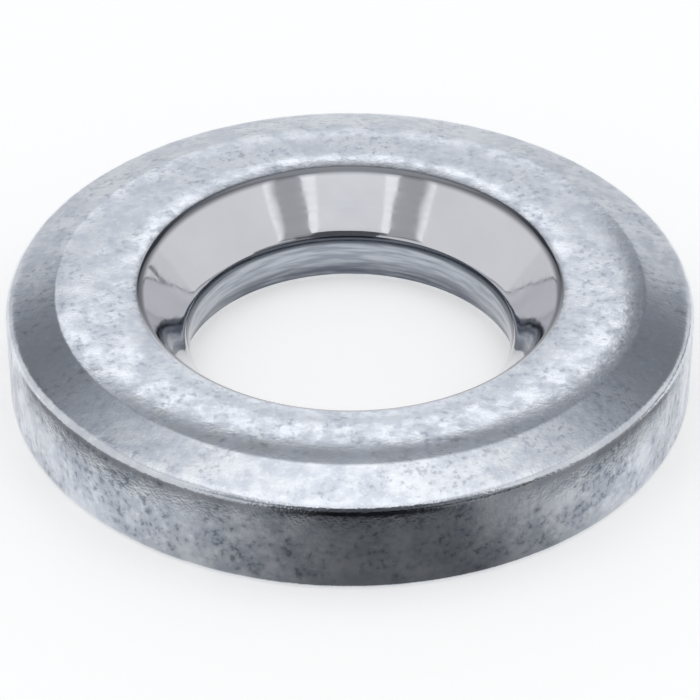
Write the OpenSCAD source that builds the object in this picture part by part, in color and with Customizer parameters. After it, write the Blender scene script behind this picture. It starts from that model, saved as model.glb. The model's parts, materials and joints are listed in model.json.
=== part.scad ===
// Sealing ring for a screw plug: one piece of soft aluminium, pressed and pierced.
// The top is a flat sealing face that rolls off a little to both sides. Outside, it falls in a wide,
// shallow bevel to the outer wall. Inside, a smooth conical seat sinks to a narrow round land, and below
// the land the pierced hole breaks out wider.
// The ring rests on its flat underside, with its axis on Z and its underside at Z = 0. Millimetres.

/* [Ring] */
// Outside diameter
outer_d = 30; // [28:0.1:40]
// Thickness from the underside to the sealing face
height = 4.9; // [4.2:0.05:8]

/* [Outer bevel] */
// Width of the bevel, seen from above
bevel_w = 2.15; // [1:0.05:2.6]
// Fall of the bevel, from its inner edge to the outer wall
bevel_depth = 0.58; // [0.3:0.02:1.4]
// Width of the rolled-off band between the sealing face and the bevel, seen from above
roll_w = 0.85; // [0.4:0.05:1.2]
// Fall of the rolled-off band
roll_depth = 0.1; // [0.02:0.01:0.16]

/* [Conical seat] */
// Diameter of the seat's mouth
mouth_d = 18.3; // [16.5:0.1:20.5]
// Width of the rolled-off band between the seat's mouth and the sealing face, seen from above
brow_w = 0.85; // [0.4:0.05:1.2]
// Fall of that band, from the sealing face to the seat's mouth
brow_depth = 0.1; // [0.02:0.01:0.16]
// Depth of the seat, from the sealing face to the land
seat_depth = 2.6; // [1.2:0.05:3]

/* [Bore] */
// Diameter of the land that the screw passes through
bore_d = 14.2; // [10:0.1:14.8]
// Height of the land, with the rounded lip above it
land_h = 1.1; // [0.8:0.05:2]
// Diameter of the pierced hole at the underside
exit_d = 15; // [14.4:0.1:18]

/* [Edge rounds] */
// Radius where the sealing face rolls off towards the bevel
crown_r = 12; // [2:1:20]
// Radius where the sealing face rolls off towards the seat
brow_r = 8; // [2:1:20]
// Radius of the bevel's inner edge
edge_r = 1; // [0.1:0.1:2]
// Radius where the bevel meets the outer wall
shoulder_r = 0.5; // [0.05:0.05:0.8]
// Radius of the seat's mouth
rim_r = 0.4; // [0.1:0.1:2]
// Radius of the lip between the seat and the land
lip_r = 1.1; // [0.1:0.1:2.5]
// Radius round the outside of the underside
foot_r = 0.3; // [0.05:0.05:0.6]
// Radius round the hole in the underside
exit_r = 0.25; // [0.05:0.05:0.5]

/* [Hidden] */
$fn = 180;
// Straight steps in each edge round
round_steps = 8;
// Share of a side that the edge rounds at its two ends may fill
side_fill = 0.95;

outer_r = outer_d / 2;
bore_r = bore_d / 2;
edge_z = height - roll_depth;
seat_z = height - seat_depth;
land_z = seat_z - land_h;

// Corners of the section as [radius, height, edge round], anticlockwise from the hole in the underside
section_corners = [
    [exit_d / 2, 0, exit_r],
    [outer_r, 0, foot_r],
    [outer_r, edge_z - bevel_depth, shoulder_r],
    [outer_r - bevel_w, edge_z, edge_r],
    [outer_r - bevel_w - roll_w, height, crown_r],
    [mouth_d / 2 + brow_w, height, brow_r],
    [mouth_d / 2, height - brow_depth, rim_r],
    [bore_r, seat_z, lip_r],
    [bore_r, land_z, 0],
];

function toward(from, to) = (to - from) / norm(to - from);
function turned(arm, angle) = [
    arm[0] * cos(angle) - arm[1] * sin(angle),
    arm[0] * sin(angle) + arm[1] * cos(angle),
];

function corner(corners, i) = corners[(i + len(corners)) % len(corners)];
function point(corners, i) = [corner(corners, i)[0], corner(corners, i)[1]];

// Half of the angle between the two sides that meet at a corner
function half_angle(corners, i) =
    let (
        here = point(corners, i),
        back = toward(here, point(corners, i - 1)),
        ahead = toward(here, point(corners, i + 1))
    )
    acos(back * ahead) / 2;

// Length that the edge round at a corner takes from each of its sides, at its full radius
function full_run(corners, i) = corner(corners, i)[2] / tan(half_angle(corners, i));

// How far the edge rounds at the ends of the side after a corner shrink to fit on it
function side_limit(corners, i) =
    let (
        side = norm(point(corners, i + 1) - point(corners, i)),
        needed = full_run(corners, i) + full_run(corners, i + 1)
    )
    min(1, side_fill * side / needed);

// Points along the edge round at a corner
function edge_round(corners, i) =
    let (
        here = point(corners, i),
        back = toward(here, point(corners, i - 1)),
        ahead = toward(here, point(corners, i + 1)),
        run = full_run(corners, i) * min(side_limit(corners, i - 1), side_limit(corners, i)),
        half = half_angle(corners, i),
        centre = here + toward([0, 0], back + ahead) * run / cos(half),
        arm = here + back * run - centre,
        sweep = sign(cross(ahead, back)) * (180 - 2 * half)
    )
    [for (step = [0:round_steps]) centre + turned(arm, sweep * step / round_steps)];

// The section's outline, with each corner that has an edge round replaced by its arc
function outline(corners) = [
    for (i = [0:len(corners) - 1])
        each corners[i][2] > 0 ? edge_round(corners, i) : [point(corners, i)]
];

module sealing_ring() {
    color([0.78, 0.8, 0.83]) rotate_extrude() polygon(outline(section_corners));
}

sealing_ring();
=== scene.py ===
"""Looks of a one-piece sealing ring: tumbled aluminium with a smooth pressed seat, in a pale studio."""

import json
import logging
import math
from dataclasses import dataclass, field
from enum import Enum
from typing import Any, Dict, List, Sequence, Tuple, Union

import bpy
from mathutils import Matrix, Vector


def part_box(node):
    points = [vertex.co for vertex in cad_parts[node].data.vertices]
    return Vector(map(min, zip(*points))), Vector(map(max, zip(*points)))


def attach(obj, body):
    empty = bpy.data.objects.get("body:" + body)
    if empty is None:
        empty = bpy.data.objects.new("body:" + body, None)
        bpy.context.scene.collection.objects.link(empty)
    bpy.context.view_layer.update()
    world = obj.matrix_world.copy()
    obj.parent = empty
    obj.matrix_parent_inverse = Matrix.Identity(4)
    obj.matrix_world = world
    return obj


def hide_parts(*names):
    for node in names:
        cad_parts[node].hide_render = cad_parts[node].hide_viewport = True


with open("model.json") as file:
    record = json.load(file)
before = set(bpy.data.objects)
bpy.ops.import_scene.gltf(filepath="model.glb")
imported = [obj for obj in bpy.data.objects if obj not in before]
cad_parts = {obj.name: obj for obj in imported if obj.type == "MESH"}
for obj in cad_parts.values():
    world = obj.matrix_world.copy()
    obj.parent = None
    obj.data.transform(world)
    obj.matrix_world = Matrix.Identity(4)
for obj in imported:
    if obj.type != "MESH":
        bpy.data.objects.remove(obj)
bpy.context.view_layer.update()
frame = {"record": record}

LOG = logging.getLogger("sealing_ring")
MM = 0.001
RING_NODE = "sealing_ring"
RING_BODY = "root"

# Settings that many nodes share
ADD = {"operation": "ADD"}
SUBTRACT = {"operation": "SUBTRACT"}
MULTIPLY = {"operation": "MULTIPLY"}
DIVIDE = {"operation": "DIVIDE"}
GREATER = {"operation": "MAXIMUM"}
BELOW = {"operation": "LESS_THAN"}
ABOVE = {"operation": "GREATER_THAN"}
LENGTH = {"operation": "LENGTH"}
DISTANCE = {"operation": "DISTANCE"}
SCALE = {"operation": "SCALE"}
CUT_AT_ZERO = {"operation": "SUBTRACT", "use_clamp": True}
CUT_AT_ONE = {"operation": "ADD", "use_clamp": True}
SMOOTH_STEP = {"interpolation_type": "SMOOTHSTEP"}
COLOUR_MIX = {"data_type": "RGBA"}
# Keeps the part of a place that lies across the axis
ACROSS_AXIS = (1.0, 1.0, 0.0)
# Middle of a noise's range
NOISE_MIDDLE = 0.5

Link = Union[bpy.types.NodeSocket, bpy.types.Node, float, int, bool, str, Sequence[float], bpy.types.ID]
Tree = bpy.types.NodeTree
Node = bpy.types.Node


class Turn(Enum):
    """Corners of the ring's section, in order round it from the hole in the underside."""

    EXIT = "Exit"
    FOOT = "Foot"
    SHOULDER = "Shoulder"
    EDGE = "Edge"
    CROWN = "Crown"
    BROW = "Brow"
    RIM = "Rim"
    LIP = "Lip"
    LAND = "Land"


class Mark(Enum):
    """Traces of use, and a painted shade along the rim, stored on the ring's points for the finishes to read.
    """

    BURNISH = "burnish"
    RIM_SHADE = "rim_shade"
    SCUFF = "scuff"


class Zone(Enum):
    """Faces of the ring that were made in different ways and take different finishes."""

    TUMBLED = "Tumbled"
    SEAT = "Seat"
    BORE = "Bore"


@dataclass(frozen=True)
class Step:
    """A smooth step: one result up to a low value, another from a high value on."""

    low: Link
    high: Link
    at_low: float = 0.0
    at_high: float = 1.0

    def links(self, value: Link) -> Dict[str, Link]:
        """Gives the inputs of a node that takes this step on a value.

        Args:
            value: The socket or node that is read.

        Returns:
            The inputs by name.
        """
        return {
            "Value": value, "From Min": self.low, "From Max": self.high,
            "To Min": self.at_low, "To Max": self.at_high,
        }


@dataclass(frozen=True)
class Grain:
    """A cloudy pattern of patches with finer layers on them.

    Each finer layer keeps a share of the strength of the layer before it.
    """

    size_mm: float
    layers: float
    fine_share: float = 0.6

    def links(self, place: Link, key: str = "Vector") -> Dict[str, Link]:
        """Gives the inputs of a noise node that draws this pattern.

        Args:
            place: The socket or node that gives the place in millimetres.
            key: Name of the input that takes the place.

        Returns:
            The inputs by name.
        """
        return {
            key: place, "Scale": 1 / self.size_mm, "Detail": self.layers, "Roughness": self.fine_share,
        }


def linear_colour(hex_code: str) -> Tuple[float, float, float, float]:
    """Turns an sRGB hex colour into linear light.

    Args:
        hex_code: Six hex digits, with or without a leading #.

    Returns:
        Linear red, green and blue, and an alpha of 1.
    """
    digits = hex_code.lstrip("#")
    channels = [int(digits[i:i + 2], 16) / 255 for i in (0, 2, 4)]
    red, green, blue = [c / 12.92 if c <= 0.04045 else ((c + 0.055) / 1.055) ** 2.4 for c in channels]
    return red, green, blue, 1.0


def find_socket(sockets: Sequence[bpy.types.NodeSocket], key: Union[str, int]) -> bpy.types.NodeSocket:
    """Finds a socket in use by its name, or by its place among the sockets in use.

    Args:
        sockets: A node's inputs or outputs.
        key: The socket's name or place.

    Returns:
        The first socket that fits.
    """
    usable = [s for s in sockets if s.enabled]
    if isinstance(key, int):
        return usable[key]
    return next(s for s in usable if s.name == key)


def add_node(tree: Tree, kind: str, settings: Dict[str, Any], links: Dict[Any, Link]) -> Node:
    """Adds one node to a tree, sets its properties and fills its inputs.

    Args:
        tree: The shader or geometry tree that gets the node.
        kind: The node's type name.
        settings: Property names and their values.
        links: Input names or places, each with a constant, a socket, or a node for its first output.

    Returns:
        The new node.
    """
    node = tree.nodes.new(kind)
    for name, value in settings.items():
        setattr(node, name, value)
    for key, value in links.items():
        target = find_socket(node.inputs, key)
        if isinstance(value, bpy.types.Node):
            tree.links.new(find_socket(value.outputs, 0), target)
        elif isinstance(value, bpy.types.NodeSocket):
            tree.links.new(value, target)
        else:
            target.default_value = value
    return node


def new_material(name: str) -> Tuple[bpy.types.Material, Tree]:
    """Makes an empty node material.

    Args:
        name: The finish's plain name.

    Returns:
        The material and its node tree.
    """
    material = bpy.data.materials.new(name)
    material.use_nodes = True
    material.node_tree.nodes.clear()
    return material, material.node_tree


def millimetre_place(tree: Tree) -> Node:
    """Adds the object's own coordinates in millimetres.

    Args:
        tree: The material's tree.

    Returns:
        A node whose first output is the place in millimetres.
    """
    place = add_node(tree, "ShaderNodeTexCoord", {}, {})
    return add_node(tree, "ShaderNodeVectorMath", SCALE, {"Vector": place.outputs["Object"], "Scale": 1 / MM})


def lay_colours(tree: Tree, base: str, layers: Sequence[Tuple[Link, str]]) -> Node:
    """Lays colours over each other.

    Args:
        tree: The material's tree.
        base: The lowest colour.
        layers: From the lowest up, how much of each colour shows, from 0 to 1, and the colour.

    Returns:
        The node of the colour that is seen.
    """
    seen: Link = linear_colour(base)
    for amount, colour in layers:
        seen = add_node(
            tree, "ShaderNodeMix", COLOUR_MIX, {"Factor": amount, "A": seen, "B": linear_colour(colour)},
        )
    return seen


def end_metal(tree: Tree, colour: Node, roughness: Node, relief: Node, depth_mm: float) -> None:
    """Ends a bare metal's tree with its relief, its shader and the output.

    Args:
        tree: The material's tree.
        colour: The metal's colour.
        roughness: How much it blurs what it mirrors.
        relief: The surface's height, in depths.
        depth_mm: One depth in millimetres.
    """
    bump = add_node(
        tree, "ShaderNodeBump", {}, {"Height": relief, "Distance": depth_mm * MM, "Strength": 1.0},
    )
    metal = add_node(
        tree, "ShaderNodeBsdfPrincipled", {},
        {"Base Color": colour, "Metallic": 1.0, "Roughness": roughness, "Normal": bump},
    )
    add_node(tree, "ShaderNodeOutputMaterial", {}, {"Surface": metal})


@dataclass(frozen=True)
class TumbledAluminium:
    """Soft aluminium that was tumbled in a drum with other rings."""

    # To the eye it is a cool satin grey, clouded lighter and darker, that blurs what it mirrors. Small dark
    # pits crowd together in smudges, most on the wall, and the edges are rubbed bright.
    name: str = "tumbled_aluminium"
    light: str = "#E2E6ED"
    dull: str = "#CBD1DB"
    pit: str = "#6A7282"
    soil: str = "#979FAC"
    fleck: str = "#F2F4F8"
    # Painted shade along the rim crease, speckled, weaker on the near side of the ring
    rim_shade: str = "#464A51"
    mottle: Grain = Grain(1.0, 4.0)
    smudge: Grain = Grain(2.4, 3.0)
    speck: Grain = Grain(0.3, 4.0)
    grit: Grain = Grain(0.12, 1.0)
    clouds: Step = Step(0.36, 0.66)
    flecks: Step = Step(0.26, 0.44, 0.55, 0.0)
    pits: Step = Step(0.5, 0.68)
    smudges: Step = Step(0.42, 0.62, 0.16, 1.0)
    pits_by_scuff: Step = Step(0.0, 1.0, 0.4, 0.75)
    soiling: Step = Step(0.0, 1.0, 0.0, 0.5)
    # How much of the painted rim shade each speck lets through
    dirt: Step = Step(0.3, 0.6, 0.55, 0.9)
    rubbing: Step = Step(0.0, 1.0, 0.0, 0.4)
    gloss: Step = Step(0.3, 0.7, 0.16, 0.24)
    polish: Step = Step(0.0, 1.0, 0.0, 0.08)
    bump_mm: float = 0.005
    bump_by_scuff: Step = Step(0.0, 1.0, -0.6, -2.2)

    def build(self) -> bpy.types.Material:
        """Makes the material.

        Returns:
            The finished material.
        """
        material, tree = new_material(self.name)
        place = millimetre_place(tree)
        burnish, rim_shade, scuff = [
            add_node(tree, "ShaderNodeAttribute", {"attribute_name": mark.value}, {}).outputs["Fac"]
            for mark in (Mark.BURNISH, Mark.RIM_SHADE, Mark.SCUFF)
        ]
        mottle, smudge, speck, grit = [
            add_node(tree, "ShaderNodeTexNoise", {}, grain.links(place))
            for grain in (self.mottle, self.smudge, self.speck, self.grit)
        ]
        readings = (
            (self.clouds, mottle), (self.flecks, speck), (self.pits, speck), (self.smudges, smudge),
            (self.pits_by_scuff, scuff), (self.dirt, speck), (self.rubbing, burnish), (self.gloss, mottle),
            (self.polish, burnish), (self.bump_by_scuff, scuff), (self.soiling, scuff),
        )
        clouds, flecks, pits, smudges, pitting, dirt, rubbing, gloss, polish, depth, soiling = [
            add_node(tree, "ShaderNodeMapRange", SMOOTH_STEP, step.links(source)) for step, source in readings
        ]
        crowded = add_node(tree, "ShaderNodeMath", MULTIPLY, {0: pits, 1: smudges})
        pitted = add_node(tree, "ShaderNodeMath", MULTIPLY, {0: crowded, 1: pitting})
        unrubbed = add_node(tree, "ShaderNodeMath", CUT_AT_ZERO, {0: pitted, 1: burnish})
        # Painted shade along the rim crease, speckled
        rim_shaded = add_node(tree, "ShaderNodeMath", MULTIPLY, {0: rim_shade, 1: dirt})
        soiled = add_node(tree, "ShaderNodeMath", MULTIPLY, {0: smudges, 1: soiling})
        colour = lay_colours(tree, self.light, (
            (clouds, self.dull), (soiled, self.soil), (flecks, self.fleck), (unrubbed, self.pit),
            (rubbing, self.fleck), (rim_shaded, self.rim_shade),
        ))
        roughness = add_node(tree, "ShaderNodeMath", SUBTRACT, {0: gloss, 1: polish})
        uneven = add_node(tree, "ShaderNodeMath", ADD, {0: speck, 1: grit})
        relief = add_node(tree, "ShaderNodeMath", MULTIPLY, {0: uneven, 1: depth})
        end_metal(tree, colour, roughness, relief, self.bump_mm)
        return material


@dataclass(frozen=True)
class PressedSeat:
    """Aluminium that the cone of the press ironed smooth."""

    # To the eye it is a bright neutral metal that mirrors the room in plain bands, with faint rings from the
    # tool. The rings are drawn coarser than the tool's own 0.05 mm, so that they show.
    name: str = "pressed_aluminium_seat"
    light: str = "#E2E2E6"
    dull: str = "#D2D3D8"
    # Painted shade along the rim crease, where the seat meets the top
    rim_shade: str = "#4A4E56"
    tool_mark: Grain = Grain(0.22, 2.0, 0.5)
    cloud: Grain = Grain(2.4, 3.0, 0.5)
    caking: Step = Step(0.0, 1.0, 0.0, 0.85)
    gloss: Step = Step(0.3, 0.7, 0.06, 0.1)
    bump_mm: float = 0.0005

    def build(self) -> bpy.types.Material:
        """Makes the material.

        Returns:
            The finished material.
        """
        material, tree = new_material(self.name)
        place = millimetre_place(tree)
        flat = add_node(tree, "ShaderNodeVectorMath", MULTIPLY, {0: place, 1: ACROSS_AXIS})
        radius = add_node(tree, "ShaderNodeVectorMath", LENGTH, {0: flat}).outputs["Value"]
        rings = add_node(
            tree, "ShaderNodeTexNoise", {"noise_dimensions": "1D"}, self.tool_mark.links(radius, "W"),
        )
        clouds = add_node(tree, "ShaderNodeTexNoise", {}, self.cloud.links(place))
        rim_shade = add_node(tree, "ShaderNodeAttribute", {"attribute_name": Mark.RIM_SHADE.value}, {}).outputs["Fac"]
        # Painted shade along the rim
        rim_shaded = add_node(tree, "ShaderNodeMapRange", SMOOTH_STEP, self.caking.links(rim_shade))
        gloss = add_node(tree, "ShaderNodeMapRange", SMOOTH_STEP, self.gloss.links(rings))
        colour = lay_colours(tree, self.light, ((clouds, self.dull), (rim_shaded, self.rim_shade)))
        end_metal(tree, colour, gloss, rings, self.bump_mm)
        return material


@dataclass(frozen=True)
class PiercedBore:
    """Aluminium that a punch sheared and then tore through."""

    # To the eye it is a short smooth land, streaked light and dark round the hole. Above it a dark band of
    # painted shade lies under the lip, and below it the land turns into dull, rough, dark torn metal.
    name: str = "pierced_aluminium_bore"
    light: str = "#BCC1C9"
    dull: str = "#989EA8"
    torn: str = "#6A707B"
    # Colour of the painted shade under the lip
    stain: str = "#3E434C"
    streak: Grain = Grain(2.2, 2.0)
    streak_height_mm: float = 0.22
    streaks: Step = Step(0.34, 0.68)
    # Over these heights above the underside, in millimetres, the tearing ends and the painted shade under the
    # lip begins
    tearing: Step = Step(0.3, 1.3, 1.0, 0.0)
    entry: Step = Step(1.95, 2.12, 0.0, 0.75)
    torn_streaks: Step = Step(0.3, 0.66, 0.45, 1.0)
    gloss: Step = Step(0.0, 1.0, 0.14, 0.3)
    bump_mm: float = 0.002

    def build(self) -> bpy.types.Material:
        """Makes the material.

        Returns:
            The finished material.
        """
        material, tree = new_material(self.name)
        place = millimetre_place(tree)
        drawn = add_node(
            tree, "ShaderNodeVectorMath", MULTIPLY,
            {0: place, 1: (1.0, 1.0, self.streak.size_mm / self.streak_height_mm)},
        )
        grain = add_node(tree, "ShaderNodeTexNoise", {}, self.streak.links(drawn))
        height = add_node(tree, "ShaderNodeSeparateXYZ", {}, {"Vector": place}).outputs["Z"]
        tearing = add_node(tree, "ShaderNodeMapRange", SMOOTH_STEP, self.tearing.links(height))
        # Painted shade: a dark band just under the lip
        entry = add_node(tree, "ShaderNodeMapRange", SMOOTH_STEP, self.entry.links(height))
        streaks = add_node(tree, "ShaderNodeMapRange", SMOOTH_STEP, self.streaks.links(grain))
        ragged = add_node(tree, "ShaderNodeMapRange", SMOOTH_STEP, self.torn_streaks.links(grain))
        gloss = add_node(tree, "ShaderNodeMapRange", SMOOTH_STEP, self.gloss.links(tearing))
        torn = add_node(tree, "ShaderNodeMath", MULTIPLY, {0: tearing, 1: ragged})
        relief = add_node(tree, "ShaderNodeMath", MULTIPLY, {0: grain, 1: tearing})
        colour = lay_colours(
            tree, self.light, ((streaks, self.dull), (torn, self.torn), (entry, self.stain)),
        )
        end_metal(tree, colour, gloss, relief, self.bump_mm)
        return material


@dataclass
class SealingRing:
    """The ring: one rounded section carried round the axis, then dented as tumbling leaves it.

    Lengths are in metres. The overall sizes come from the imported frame.
    """

    outer_radius: float
    height: float
    bore_radius: float
    bevel_width: float = 2.15 * MM
    bevel_depth: float = 0.58 * MM
    roll_width: float = 0.85 * MM
    roll_depth: float = 0.1 * MM
    mouth_radius: float = 9.15 * MM
    brow_width: float = 0.85 * MM
    brow_depth: float = 0.1 * MM
    seat_depth: float = 2.6 * MM
    land_height: float = 1.1 * MM
    exit_radius: float = 7.5 * MM
    crown_round: float = 12.0 * MM
    edge_round: float = 1.0 * MM
    brow_round: float = 8.0 * MM
    shoulder_round: float = 0.5 * MM
    rim_round: float = 0.4 * MM
    lip_round: float = 1.1 * MM
    foot_round: float = 0.3 * MM
    exit_round: float = 0.25 * MM
    around: int = 480
    spacing: float = 0.2 * MM
    arc_steps: int = 6
    dent_depth: float = 0.012 * MM
    dent_size: float = 1.1 * MM
    nick_depth: float = 0.03 * MM
    nick_size: float = 0.6 * MM
    knock_layers: float = 1.0
    edge_reach: float = 0.45 * MM
    seat_edge: float = 0.2 * MM
    # How far the painted rim shade reaches from the rim's corner
    grime_reach: float = 0.38 * MM
    # How much of the painted rim shade is kept, from the near side of the ring to its middle
    wiped: Step = Step(-8.5 * MM, 0.0, 0.15, 1.0)
    # Height of the lip that the punch sheared, in lip rounds
    sheared_lip: float = 0.42
    seed: float = 4.0

    def corners(self) -> Dict[Turn, Vector]:
        """Works out the section's corners.

        Returns:
            For each corner, its distance from the axis, its height and its edge round.
        """
        edge_height = self.height - self.roll_depth
        edge_radius = self.outer_radius - self.bevel_width
        seat_floor = self.height - self.seat_depth
        return {
            Turn.EXIT: Vector((self.exit_radius, 0, self.exit_round)),
            Turn.FOOT: Vector((self.outer_radius, 0, self.foot_round)),
            Turn.SHOULDER: Vector((self.outer_radius, edge_height - self.bevel_depth, self.shoulder_round)),
            Turn.EDGE: Vector((edge_radius, edge_height, self.edge_round)),
            Turn.CROWN: Vector((edge_radius - self.roll_width, self.height, self.crown_round)),
            Turn.BROW: Vector((self.mouth_radius + self.brow_width, self.height, self.brow_round)),
            Turn.RIM: Vector((self.mouth_radius, self.height - self.brow_depth, self.rim_round)),
            Turn.LIP: Vector((self.bore_radius, seat_floor, self.lip_round)),
            Turn.LAND: Vector((self.bore_radius, seat_floor - self.land_height, 0)),
        }

    def seat_base(self) -> float:
        """Works out how far down the lip the press ironed it.

        Returns:
            The height above the underside, a little over the end of the rounded lip.
        """
        rim, lip = self.corners()[Turn.RIM], self.corners()[Turn.LIP]
        turn = math.atan2(rim.x - lip.x, rim.y - lip.y)
        return lip.y - self.lip_round * (math.tan(turn / 2) - self.sheared_lip)

    def numbers(self) -> Dict[str, float]:
        """Gives the tree's plain number inputs.

        Returns:
            Input names, as the tree shows them, with their values.
        """
        return {
            "Path Radius": self.bore_radius,
            "Spacing": self.spacing,
            "Dent Depth": self.dent_depth,
            "Dent Size": self.dent_size,
            "Nick Depth": self.nick_depth,
            "Nick Size": self.nick_size,
            "Edge Reach": self.edge_reach,
            "Grime Reach": self.grime_reach,
            "Wall Start": self.outer_radius - self.shoulder_round,
            "Wall Radius": self.outer_radius,
            "Seat Radius": self.mouth_radius + self.seat_edge,
            "Seat Base": self.seat_base(),
            "Exit Radius": self.exit_radius,
            "Flat Below": self.foot_round,
            "Seed": self.seed,
        }

    def counts(self) -> Dict[str, int]:
        """Gives the tree's whole-number inputs, by name."""
        return {"Around": self.around, "Arc Steps": self.arc_steps}

    def tree(self) -> Tree:
        """Builds the tree that turns the section into the ring.

        Returns:
            A geometry tree with named inputs for the corners, the mesh, the dents and the finishes.
        """
        tree = bpy.data.node_groups.new("ring_from_section", "GeometryNodeTree")
        tree.interface.new_socket("Geometry", in_out="OUTPUT", socket_type="NodeSocketGeometry")
        kinds = {turn.value: "NodeSocketVector" for turn in Turn}
        kinds.update({name: "NodeSocketInt" for name in self.counts()})
        kinds.update({name: "NodeSocketFloat" for name in self.numbers()})
        kinds.update({zone.value: "NodeSocketMaterial" for zone in Zone})
        for name, kind in kinds.items():
            tree.interface.new_socket(name, in_out="INPUT", socket_type=kind)
        given = tree.nodes.new("NodeGroupInput").outputs
        profile = self._section_curve(tree, given)
        swept = self._sweep(tree, given, profile)
        marked = self._marks(tree, given, swept)
        dented = self._dents(tree, given, marked)
        real = add_node(tree, "GeometryNodeRealizeInstances", {}, {"Geometry": dented})
        finished = self._finishes(tree, given, real)
        add_node(tree, "NodeGroupOutput", {}, {"Geometry": finished})
        return tree

    def _section_curve(self, tree: Tree, given: Any) -> Node:
        """Adds the section as a closed curve with rounded corners and even points.

        Args:
            tree: The ring's tree.
            given: The tree's inputs.

        Returns:
            The node that holds the section, with the radius along X and the height along minus Y.
        """
        index = add_node(tree, "GeometryNodeInputIndex", {}, {})
        pick = add_node(tree, "GeometryNodeIndexSwitch", {"data_type": "VECTOR"}, {"Index": index})
        while len(pick.index_switch_items) < len(Turn):
            pick.index_switch_items.new()
        for place, turn in enumerate(Turn):
            tree.links.new(given[turn.value], find_socket(pick.inputs, str(place)))
        parts = add_node(tree, "ShaderNodeSeparateXYZ", {}, {"Vector": pick})
        outward = add_node(
            tree, "ShaderNodeMath", SUBTRACT, {0: parts.outputs["X"], 1: given["Path Radius"]},
        )
        downward = add_node(tree, "ShaderNodeMath", MULTIPLY, {0: parts.outputs["Y"], 1: -1.0})
        flat = add_node(tree, "ShaderNodeCombineXYZ", {}, {"X": outward, "Y": downward})
        loop = add_node(tree, "GeometryNodeCurvePrimitiveCircle", {}, {"Resolution": len(Turn)})
        placed = add_node(tree, "GeometryNodeSetPosition", {}, {"Geometry": loop, "Position": flat})
        rounded = add_node(
            tree, "GeometryNodeFilletCurve", {"mode": "POLY"},
            {"Curve": placed, "Count": given["Arc Steps"], "Radius": parts.outputs["Z"]},
        )
        here = add_node(tree, "GeometryNodeInputPosition", {}, {})
        own = add_node(tree, "GeometryNodeInputIndex", {}, {})
        following = add_node(tree, "GeometryNodeOffsetPointInCurve", {}, {"Point Index": own, "Offset": 1})
        there = add_node(
            tree, "GeometryNodeFieldAtIndex", {"data_type": "FLOAT_VECTOR", "domain": "POINT"},
            {"Value": here, "Index": following.outputs["Point Index"]},
        )
        stretch = add_node(tree, "ShaderNodeVectorMath", DISTANCE, {0: here, 1: there}).outputs["Value"]
        pieces = add_node(tree, "ShaderNodeMath", DIVIDE, {0: stretch, 1: given["Spacing"]})
        cuts = add_node(tree, "ShaderNodeMath", {"operation": "FLOOR"}, {0: pieces})
        return add_node(tree, "GeometryNodeSubdivideCurve", {}, {"Curve": rounded, "Cuts": cuts})

    def _sweep(self, tree: Tree, given: Any, profile: Node) -> Node:
        """Carries the section round the axis.

        Args:
            tree: The ring's tree.
            given: The tree's inputs.
            profile: The section's node.

        Returns:
            The node that holds the smooth ring.
        """
        path = add_node(
            tree, "GeometryNodeCurvePrimitiveCircle", {},
            {"Resolution": given["Around"], "Radius": given["Path Radius"]},
        )
        swept = add_node(tree, "GeometryNodeCurveToMesh", {}, {"Curve": path, "Profile Curve": profile})
        return add_node(tree, "GeometryNodeSetShadeSmooth", {}, {"Geometry": swept})

    def _section_place(self, tree: Tree) -> Node:
        """Adds each point's place in the section.

        Args:
            tree: The ring's tree.

        Returns:
            A node that gives the distance from the axis as X and the height as Y.
        """
        here = add_node(tree, "GeometryNodeInputPosition", {}, {})
        parts = add_node(tree, "ShaderNodeSeparateXYZ", {}, {"Vector": here})
        flat = add_node(tree, "ShaderNodeVectorMath", MULTIPLY, {0: here, 1: ACROSS_AXIS})
        radius = add_node(tree, "ShaderNodeVectorMath", LENGTH, {0: flat}).outputs["Value"]
        return add_node(tree, "ShaderNodeCombineXYZ", {}, {"X": radius, "Y": parts.outputs["Z"]})

    def _near(self, tree: Tree, given: Any, edge: Turn, reach: str) -> Node:
        """Adds how near each point is to one edge.

        Args:
            tree: The ring's tree.
            given: The tree's inputs.
            edge: The corner of the section that makes the edge.
            reach: Name of the input that holds how far from the edge it still counts.

        Returns:
            A node that gives 1 at the edge, falling to 0.
        """
        place = self._section_place(tree)
        corner = add_node(tree, "ShaderNodeVectorMath", MULTIPLY, {0: given[edge.value], 1: ACROSS_AXIS})
        gap = add_node(tree, "ShaderNodeVectorMath", DISTANCE, {0: place, 1: corner}).outputs["Value"]
        return add_node(
            tree, "ShaderNodeMapRange", SMOOTH_STEP, Step(0.0, given[reach], 1.0, 0.0).links(gap),
        )

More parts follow.
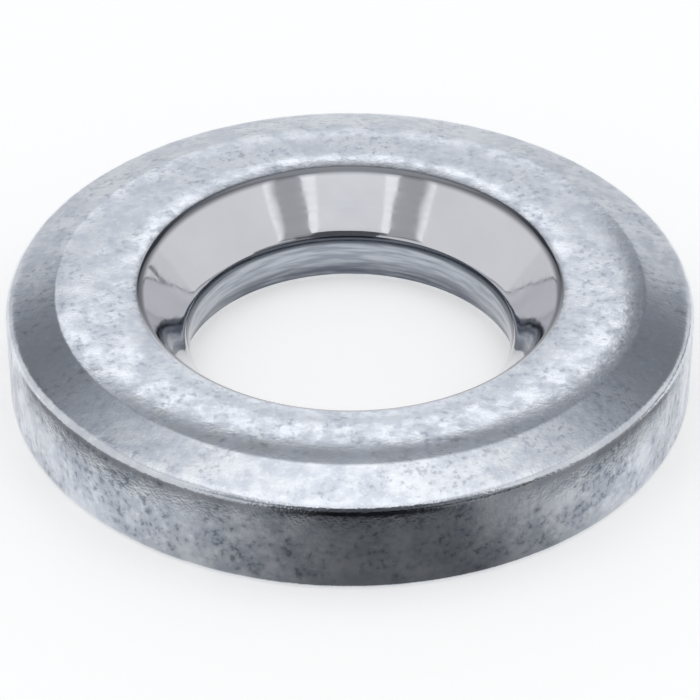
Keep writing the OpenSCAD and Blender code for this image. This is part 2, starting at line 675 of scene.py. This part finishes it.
    def _marks(self, tree: Tree, given: Any, ring: Node) -> Node:
        """Stores where edges are rubbed bright, where painted shade darkens the rim and where the wall is
        scuffed.

        Args:
            tree: The ring's tree.
            given: The tree's inputs.
            ring: The smooth ring's node.

        Returns:
            The node that holds the ring with its marks.
        """
        shoulder = self._near(tree, given, Turn.SHOULDER, "Edge Reach")
        foot = self._near(tree, given, Turn.FOOT, "Edge Reach")
        rim = self._near(tree, given, Turn.RIM, "Grime Reach")
        here = add_node(tree, "GeometryNodeInputPosition", {}, {})
        depth = add_node(tree, "ShaderNodeSeparateXYZ", {}, {"Vector": here}).outputs["Y"]
        wiped = add_node(tree, "ShaderNodeMapRange", SMOOTH_STEP, self.wiped.links(depth))
        place = add_node(tree, "ShaderNodeSeparateXYZ", {}, {"Vector": self._section_place(tree)})
        wall = Step(given["Wall Start"], given["Wall Radius"])
        amounts = {
            Mark.BURNISH: add_node(tree, "ShaderNodeMath", GREATER, {0: shoulder, 1: foot}),
            # Painted shade along the rim, weaker on the near side
            Mark.RIM_SHADE: add_node(tree, "ShaderNodeMath", MULTIPLY, {0: rim, 1: wiped}),
            Mark.SCUFF: add_node(tree, "ShaderNodeMapRange", SMOOTH_STEP, wall.links(place.outputs["X"])),
        }
        for mark, amount in amounts.items():
            ring = add_node(
                tree, "GeometryNodeStoreNamedAttribute", {"data_type": "FLOAT", "domain": "POINT"},
                {"Geometry": ring, "Name": mark.value, "Value": amount},
            )
        return ring

    def _knocks(self, tree: Tree, given: Any, size: str, depth: str) -> Node:
        """Adds a field of knocks of one size.

        Args:
            tree: The ring's tree.
            given: The tree's inputs.
            size: Name of the input that holds the knocks' width.
            depth: Name of the input that holds their depth.

        Returns:
            A node whose first output is the height of the surface above or below its true place.
        """
        here = add_node(tree, "GeometryNodeInputPosition", {}, {})
        count = add_node(tree, "ShaderNodeMath", DIVIDE, {0: 1.0, 1: given[size]})
        noise = add_node(
            tree, "ShaderNodeTexNoise", {"noise_dimensions": "4D"},
            {"Vector": here, "W": given["Seed"], "Scale": count, "Detail": self.knock_layers},
        )
        centred = add_node(tree, "ShaderNodeMath", SUBTRACT, {0: noise.outputs["Fac"], 1: NOISE_MIDDLE})
        return add_node(tree, "ShaderNodeMath", MULTIPLY, {0: centred, 1: given[depth]})

    def _dents(self, tree: Tree, given: Any, ring: Node) -> Node:
        """Pushes the surface in and out a little, as knocks in the drum do, but leaves the underside flat.

        Args:
            tree: The ring's tree.
            given: The tree's inputs.
            ring: The ring's node, with its marks stored.

        Returns:
            The node that holds the dented ring.
        """
        worn = add_node(
            tree, "GeometryNodeInputNamedAttribute", {"data_type": "FLOAT"}, {"Name": Mark.BURNISH.value},
        )
        dents = self._knocks(tree, given, "Dent Size", "Dent Depth")
        nicks = self._knocks(tree, given, "Nick Size", "Nick Depth")
        depth = add_node(
            tree, "ShaderNodeMath", {"operation": "MULTIPLY_ADD"},
            {0: nicks, 1: worn.outputs["Attribute"], 2: dents},
        )
        place = add_node(tree, "ShaderNodeSeparateXYZ", {}, {"Vector": self._section_place(tree)})
        free = Step(0.0, given["Flat Below"]).links(place.outputs["Y"])
        share = add_node(tree, "ShaderNodeMapRange", SMOOTH_STEP, free)
        shift = add_node(tree, "ShaderNodeMath", MULTIPLY, {0: depth, 1: share})
        way = add_node(tree, "GeometryNodeInputNormal", {}, {})
        push = add_node(tree, "ShaderNodeVectorMath", SCALE, {"Vector": way, "Scale": shift})
        return add_node(tree, "GeometryNodeSetPosition", {}, {"Geometry": ring, "Offset": push})

    def _finishes(self, tree: Tree, given: Any, ring: Node) -> Node:
        """Gives each zone its material.

        Args:
            tree: The ring's tree.
            given: The tree's inputs.
            ring: The dented ring's node.

        Returns:
            The node that holds the finished ring.
        """
        place = add_node(tree, "ShaderNodeSeparateXYZ", {}, {"Vector": self._section_place(tree)})
        radius, height = place.outputs["X"], place.outputs["Y"]
        inside = add_node(tree, "ShaderNodeMath", BELOW, {0: radius, 1: given["Seat Radius"]})
        raised = add_node(tree, "ShaderNodeMath", ABOVE, {0: height, 1: given["Seat Base"]})
        zones: Dict[Zone, Link] = {
            Zone.TUMBLED: True,
            Zone.BORE: add_node(tree, "ShaderNodeMath", BELOW, {0: radius, 1: given["Exit Radius"]}),
            Zone.SEAT: add_node(tree, "ShaderNodeMath", MULTIPLY, {0: inside, 1: raised}),
        }
        for zone, faces in zones.items():
            ring = add_node(
                tree, "GeometryNodeSetMaterial", {},
                {"Geometry": ring, "Selection": faces, "Material": given[zone.value]},
            )
        return ring

    def build(self, finishes: Dict[Zone, bpy.types.Material]) -> bpy.types.Object:
        """Makes the ring as a plain mesh.

        Args:
            finishes: The material of each zone.

        Returns:
            The ring's object, at the origin.
        """
        ring = bpy.data.objects.new("dressed_sealing_ring", bpy.data.meshes.new("ring_seed"))
        bpy.context.scene.collection.objects.link(ring)
        tree = self.tree()
        modifier = ring.modifiers.new("ring_from_section", "NODES")
        modifier.node_group = tree
        names = {item.name: item.identifier for item in tree.interface.items_tree if item.in_out == "INPUT"}
        values: Dict[str, Any] = {**self.counts(), **self.numbers()}
        values.update({turn.value: corner for turn, corner in self.corners().items()})
        values.update({zone.value: material for zone, material in finishes.items()})
        for name, value in values.items():
            modifier[names[name]] = value
        bpy.context.view_layer.update()
        graph = bpy.context.evaluated_depsgraph_get()
        mesh = bpy.data.meshes.new_from_object(
            ring.evaluated_get(graph), preserve_all_data_layers=True, depsgraph=graph,
        )
        mesh.name = "sealing_ring_surface"
        ring.modifiers.clear()
        ring.data = mesh
        return ring

    def place(self, ring: bpy.types.Object) -> None:
        """Puts the ring in the frame, in place of the plain solid."""
        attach(ring, RING_BODY)
        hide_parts(RING_NODE)


def toward(azimuth: float, elevation: float) -> Vector:
    """Gives the direction of a place in the studio.

    Args:
        azimuth: Degrees to the right of straight behind the ring, as the camera sees it.
        elevation: Degrees above the floor.

    Returns:
        A unit vector from the ring.
    """
    turn = math.radians(azimuth)
    rise = math.radians(elevation)
    return Vector((math.sin(turn) * math.cos(rise), math.cos(turn) * math.cos(rise), math.sin(rise)))


@dataclass(frozen=True)
class Panel:
    """A flat panel in the studio that faces the ring: a lit softbox or a dark flag.

    Angles are in degrees and lengths in metres. Glow is its brightness, where 1 lights white as white.
    """

    name: str
    azimuth: float
    elevation: float
    width: float
    height: float
    glow: float = 0.0
    cloth: str = "#0A0A0B"
    distance: float = 0.3

    def softbox(self) -> bpy.types.Object:
        """Hangs the panel as a lamp.

        Returns:
            The lamp's object.
        """
        lamp = bpy.data.lights.new(self.name, "AREA")
        lamp.shape = "RECTANGLE"
        lamp.size = self.width
        lamp.size_y = self.height
        lamp.energy = self.glow * math.pi * self.width * self.height
        holder = bpy.data.objects.new(self.name, lamp)
        self._hang(holder)
        return holder

    def flag(self, cloth: bpy.types.Material) -> bpy.types.Object:
        """Hangs the panel as a card, which only reflections see.

        Args:
            cloth: The card's material.

        Returns:
            The card's object.
        """
        x = self.width / 2
        y = self.height / 2
        mesh = bpy.data.meshes.new(self.name)
        mesh.from_pydata([(-x, -y, 0), (x, -y, 0), (x, y, 0), (-x, y, 0)], [], [(0, 1, 2, 3)])
        mesh.materials.append(cloth)
        card = bpy.data.objects.new(self.name, mesh)
        self._hang(card)
        card.visible_diffuse = False
        card.visible_shadow = False
        return card

    def _hang(self, thing: bpy.types.Object) -> None:
        """Puts the lamp or card at its place, facing the ring, where no camera sees it."""
        bpy.context.scene.collection.objects.link(thing)
        way = toward(self.azimuth, self.elevation)
        thing.location = way * self.distance
        thing.rotation_euler = way.to_track_quat("Z", "Y").to_euler()
        thing.visible_camera = False


@dataclass
class Studio:
    """A white sweep in a dim room with lit sides, and in it the softboxes, flags, apron and camera.

    Angles are in degrees, and each glow is 1 where it lights white as white. The apron is dark floor before
    the ring: a middle part, a far part and a paler band. Its angles run from straight ahead to the right.
    """

    floor_colour: str = "#DCDCDC"
    floor_lift: float = 0.41
    floor_reach: float = 3.0
    floor_gap: float = 0.01 * MM
    sweep_glow: float = 0.75
    sweep_edge: Tuple[float, float] = (22, 31)
    side_glow: float = 0.82
    side_back_edge: Tuple[float, float] = (46, 60)
    side_front_edge: Tuple[float, float] = (128, 137)
    side_top_edge: Tuple[float, float] = (46, 56)
    room_glow: float = 0.2
    room_colour: str = "#F0F6FF"
    ceiling_glow: float = 1.08
    ceiling_edge: Tuple[float, float] = (40, 72)
    ceiling_colour: str = "#FFFFFF"
    softboxes: List[Panel] = field(default_factory=lambda: [
        Panel("front_top_softbox", 180, 49, 0.23, 0.08, 0.62),
        Panel("front_left_softbox", -141, 41, 0.12, 0.1, 0.24),
        Panel("front_right_softbox", 141, 41, 0.12, 0.1, 0.24),
        Panel("back_softbox", -4, 29.6, 0.155, 0.08, 0.5),
        Panel("back_top_softbox", -4, 40, 0.155, 0.029, 1.4),
    ])
    flags: List[Panel] = field(default_factory=lambda: [
        Panel("front_flag", 165, 1.5, 0.6, 0.08),
        Panel("camera_card", 171, 25, 0.27, 0.172, cloth="#6C6E72", distance=0.29),
        Panel("front_card", 160, 17, 0.6, 0.085, cloth="#A9ABAF"),
        Panel("right_card", 80, 2, 0.42, 0.063, cloth="#A4A6AA"),
        Panel("back_card", -2, 48, 0.13, 0.05, cloth="#A4A6AA"),
    ])
    apron_colour: str = "#14161A"
    apron_reach: float = 320 * MM
    apron_lift: float = 0.05 * MM
    apron_left_fade: Tuple[float, float] = (-52, 2)
    apron_right_fade: Tuple[float, float] = (17, 60)
    apron_near: float = 15 * MM
    apron_strength: float = 0.85
    apron_far: Tuple[float, float] = (19 * MM, 20.5 * MM)
    apron_far_left_fade: Tuple[float, float] = (-40, -8)
    apron_far_right_fade: Tuple[float, float] = (14, 50)
    apron_band: Tuple[float, float] = (18.2 * MM, 19.8 * MM)
    apron_band_stretch: Tuple[float, float, float] = (1.1, 1.0, 1.0)
    apron_band_strength: float = 0.7
    apron_back_fade: float = 4 * MM
    camera_azimuth: float = 180.0
    camera_elevation: float = 36.1
    camera_distance: float = 150 * MM
    lens_mm: float = 174.6
    sensor_mm: float = 36.0
    aim: Tuple[float, float, float] = (0.0, 0.0, 1.19 * MM)

    def light(self) -> None:
        """Lights the room, hangs the softboxes and flags, and lays the apron."""
        world = bpy.data.worlds.new("white_sweep_in_dim_room")
        bpy.context.scene.world = world
        world.use_nodes = True
        tree = world.node_tree
        tree.nodes.clear()
        way = add_node(tree, "ShaderNodeTexCoord", {}, {}).outputs["Generated"]
        parts = add_node(tree, "ShaderNodeSeparateXYZ", {}, {"Vector": way})
        rise = add_node(tree, "ShaderNodeMath", {"operation": "ARCSINE"}, {0: parts.outputs["Z"]})
        turn = add_node(
            tree, "ShaderNodeMath", {"operation": "ARCTAN2"}, {0: parts.outputs["X"], 1: parts.outputs["Y"]},
        )
        swing = add_node(tree, "ShaderNodeMath", {"operation": "ABSOLUTE"}, {0: turn})
        edges = (
            self.sweep_edge, self.ceiling_edge, self.side_top_edge, self.side_back_edge, self.side_front_edge,
        )
        sweep, over, top, back, front = [[math.radians(angle) for angle in edge] for edge in edges]
        walls = self._product(tree, ((Step(*sweep, self.sweep_glow, self.room_glow), rise),))
        ceiling = self._product(tree, ((Step(*over, 0.0, self.ceiling_glow), rise),))
        sides = self._product(tree, (
            (Step(*top, self.side_glow, 0.0), rise), (Step(*back), swing), (Step(*front, 1.0, 0.0), swing),
        ))
        low = add_node(tree, "ShaderNodeMath", GREATER, {0: walls, 1: sides})
        glow = add_node(tree, "ShaderNodeMath", ADD, {0: low, 1: ceiling})
        lit = add_node(tree, "ShaderNodeMapRange", SMOOTH_STEP, Step(self.room_glow, 1.0).links(glow))
        tone = lay_colours(tree, self.room_colour, ((lit, self.ceiling_colour),))
        sky = add_node(tree, "ShaderNodeBackground", {}, {"Color": tone, "Strength": glow})
        add_node(tree, "ShaderNodeOutputWorld", {}, {"Surface": sky})
        for panel in self.softboxes:
            panel.softbox()
        for panel in self.flags:
            panel.flag(self._cloth(panel.name + "_cloth", panel.cloth))
        self._apron()

    def _product(self, tree: Tree, steps: Sequence[Tuple[Step, Link]]) -> Node:
        """Takes each step on its own value and multiplies the results.

        Args:
            tree: The tree that gets the nodes.
            steps: The steps, each with the value it reads.

        Returns:
            The node of the product.
        """
        product: Link = 1.0
        for step, value in steps:
            level = add_node(tree, "ShaderNodeMapRange", SMOOTH_STEP, step.links(value))
            product = add_node(tree, "ShaderNodeMath", MULTIPLY, {0: product, 1: level})
        return product

    def _cloth(self, name: str, colour: str) -> bpy.types.Material:
        """Makes a plain matte cloth.

        Args:
            name: The material's name.
            colour: Its colour as a hex code.

        Returns:
            The cloth's material.
        """
        cloth, tree = new_material(name)
        matte = add_node(tree, "ShaderNodeBsdfDiffuse", {}, {"Color": linear_colour(colour)})
        add_node(tree, "ShaderNodeOutputMaterial", {}, {"Surface": matte})
        return cloth

    def _apron(self) -> None:
        """Lays a black card with faded edges on the floor before the ring, which only reflections see."""
        cloth, tree = new_material("faded_black_apron")
        place = add_node(tree, "ShaderNodeTexCoord", {}, {}).outputs["Object"]
        parts = add_node(tree, "ShaderNodeSeparateXYZ", {}, {"Vector": place})
        ahead = add_node(tree, "ShaderNodeMath", MULTIPLY, {0: parts.outputs["Y"], 1: -1.0})
        angle = add_node(
            tree, "ShaderNodeMath", {"operation": "ARCTAN2"}, {0: parts.outputs["X"], 1: ahead},
        )
        away = add_node(tree, "ShaderNodeVectorMath", LENGTH, {0: place}).outputs["Value"]
        fades = (
            self.apron_left_fade, self.apron_right_fade, self.apron_far_left_fade, self.apron_far_right_fade,
        )
        left, right, far_left, far_right = [[math.radians(turn) for turn in fade] for fade in fades]
        near_part = self._product(tree, (
            (Step(*left, 0.0, self.apron_strength), angle), (Step(*right, 1.0, 0.0), angle),
        ))
        far_part = self._product(tree, (
            (Step(*far_left), angle), (Step(*far_right, 1.0, 0.0), angle), (Step(*self.apron_far), away),
        ))
        stretched = add_node(tree, "ShaderNodeVectorMath", MULTIPLY, {0: place, 1: self.apron_band_stretch})
        aside = add_node(tree, "ShaderNodeVectorMath", LENGTH, {0: stretched}).outputs["Value"]
        band = self._product(tree, (
            (Step(*self.apron_band, 0.0, self.apron_band_strength), aside),
            (Step(0.0, self.apron_back_fade), ahead),
        ))
        middle = add_node(tree, "ShaderNodeMath", GREATER, {0: near_part, 1: far_part})
        spread = add_node(tree, "ShaderNodeMath", GREATER, {0: middle, 1: band})
        outside = add_node(tree, "ShaderNodeMath", ABOVE, {0: away, 1: self.apron_near})
        cover = add_node(tree, "ShaderNodeMath", MULTIPLY, {0: spread, 1: outside})
        matte = add_node(tree, "ShaderNodeBsdfDiffuse", {}, {"Color": linear_colour(self.apron_colour)})
        clear = add_node(tree, "ShaderNodeBsdfTransparent", {}, {})
        faded = add_node(tree, "ShaderNodeMixShader", {}, {0: cover, 1: clear, 2: matte})
        add_node(tree, "ShaderNodeOutputMaterial", {}, {"Surface": faded})
        reach = self.apron_reach
        card = Panel("front_apron", 0, 90, 2 * reach, reach, distance=self.apron_lift).flag(cloth)
        for corner in card.data.vertices:
            corner.co.y -= reach / 2
        card.rotation_euler = (0, 0, 0)

    def floor(self) -> bpy.types.Object:
        """Lays the floor, a hair below the ring, clear to a camera that looks from underneath.

        Returns:
            The floor's object.
        """
        paper, tree = new_material("white_paper_floor")
        matte = add_node(tree, "ShaderNodeBsdfDiffuse", {}, {"Color": linear_colour(self.floor_colour)})
        path = add_node(tree, "ShaderNodeLightPath", {}, {}).outputs
        direct = add_node(
            tree, "ShaderNodeMath", ADD, {0: path["Is Camera Ray"], 1: path["Is Glossy Ray"]},
        )
        shown = add_node(tree, "ShaderNodeMath", CUT_AT_ONE, {0: direct, 1: path["Is Transmission Ray"]})
        lift = add_node(tree, "ShaderNodeMath", MULTIPLY, {0: shown, 1: self.floor_lift})
        white = add_node(tree, "ShaderNodeEmission", {}, {"Strength": lift})
        look = add_node(tree, "ShaderNodeAddShader", {}, {0: matte, 1: white})
        beneath = add_node(tree, "ShaderNodeNewGeometry", {}, {}).outputs["Backfacing"]
        clear = add_node(tree, "ShaderNodeBsdfTransparent", {}, {})
        sided = add_node(tree, "ShaderNodeMixShader", {}, {0: beneath, 1: look, 2: clear})
        add_node(tree, "ShaderNodeOutputMaterial", {}, {"Surface": sided})
        reach = self.floor_reach
        mesh = bpy.data.meshes.new("studio_floor")
        corners = [(-reach, -reach, 0), (reach, -reach, 0), (reach, reach, 0), (-reach, reach, 0)]
        mesh.from_pydata(corners, [], [(0, 1, 2, 3)])
        mesh.materials.append(paper)
        sheet = bpy.data.objects.new("studio_floor", mesh)
        sheet.location.z = -self.floor_gap
        bpy.context.scene.collection.objects.link(sheet)
        return sheet

    def camera(self) -> bpy.types.Object:
        """Sets the camera where the photograph was taken from.

        Returns:
            The camera's object.
        """
        lens = bpy.data.cameras.new("photo_camera")
        lens.lens = self.lens_mm
        lens.sensor_width = self.sensor_mm
        lens.clip_start = MM
        viewer = bpy.data.objects.new("photo_camera", lens)
        bpy.context.scene.collection.objects.link(viewer)
        back = toward(self.camera_azimuth, self.camera_elevation)
        viewer.location = Vector(self.aim) + back * self.camera_distance
        viewer.rotation_euler = (-back).to_track_quat("-Z", "Y").to_euler()
        bpy.context.scene.camera = viewer
        bpy.context.scene.view_settings.view_transform = "Standard"
        return viewer


def ring_from_frame() -> SealingRing:
    """Takes the ring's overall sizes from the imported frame.

    Returns:
        The ring's description.
    """
    low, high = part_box(RING_NODE)
    bore = next(mount for mount in frame["record"]["mounts"] if mount["name"] == "bore")
    return SealingRing(
        outer_radius=(high.x - low.x) / 2,
        height=high.z - low.z,
        bore_radius=bore["dims"]["r_mm"] * MM,
    )


def main() -> None:
    """Builds the studio and the ring, and reports each piece."""
    logging.basicConfig(level=logging.INFO, format="%(name)s: %(message)s")
    studio = Studio()
    studio.camera()
    studio.light()
    studio.floor()
    LOG.info("studio set up with %d softboxes and %d flags", len(studio.softboxes), len(studio.flags))
    finishes = {
        Zone.TUMBLED: TumbledAluminium().build(),
        Zone.SEAT: PressedSeat().build(),
        Zone.BORE: PiercedBore().build(),
    }
    ring = ring_from_frame()
    body = ring.build(finishes)
    ring.place(body)
    LOG.info("%s: %d faces, %d finishes", body.name, len(body.data.polygons), len(body.data.materials))


if __name__ == "__main__":
    main()
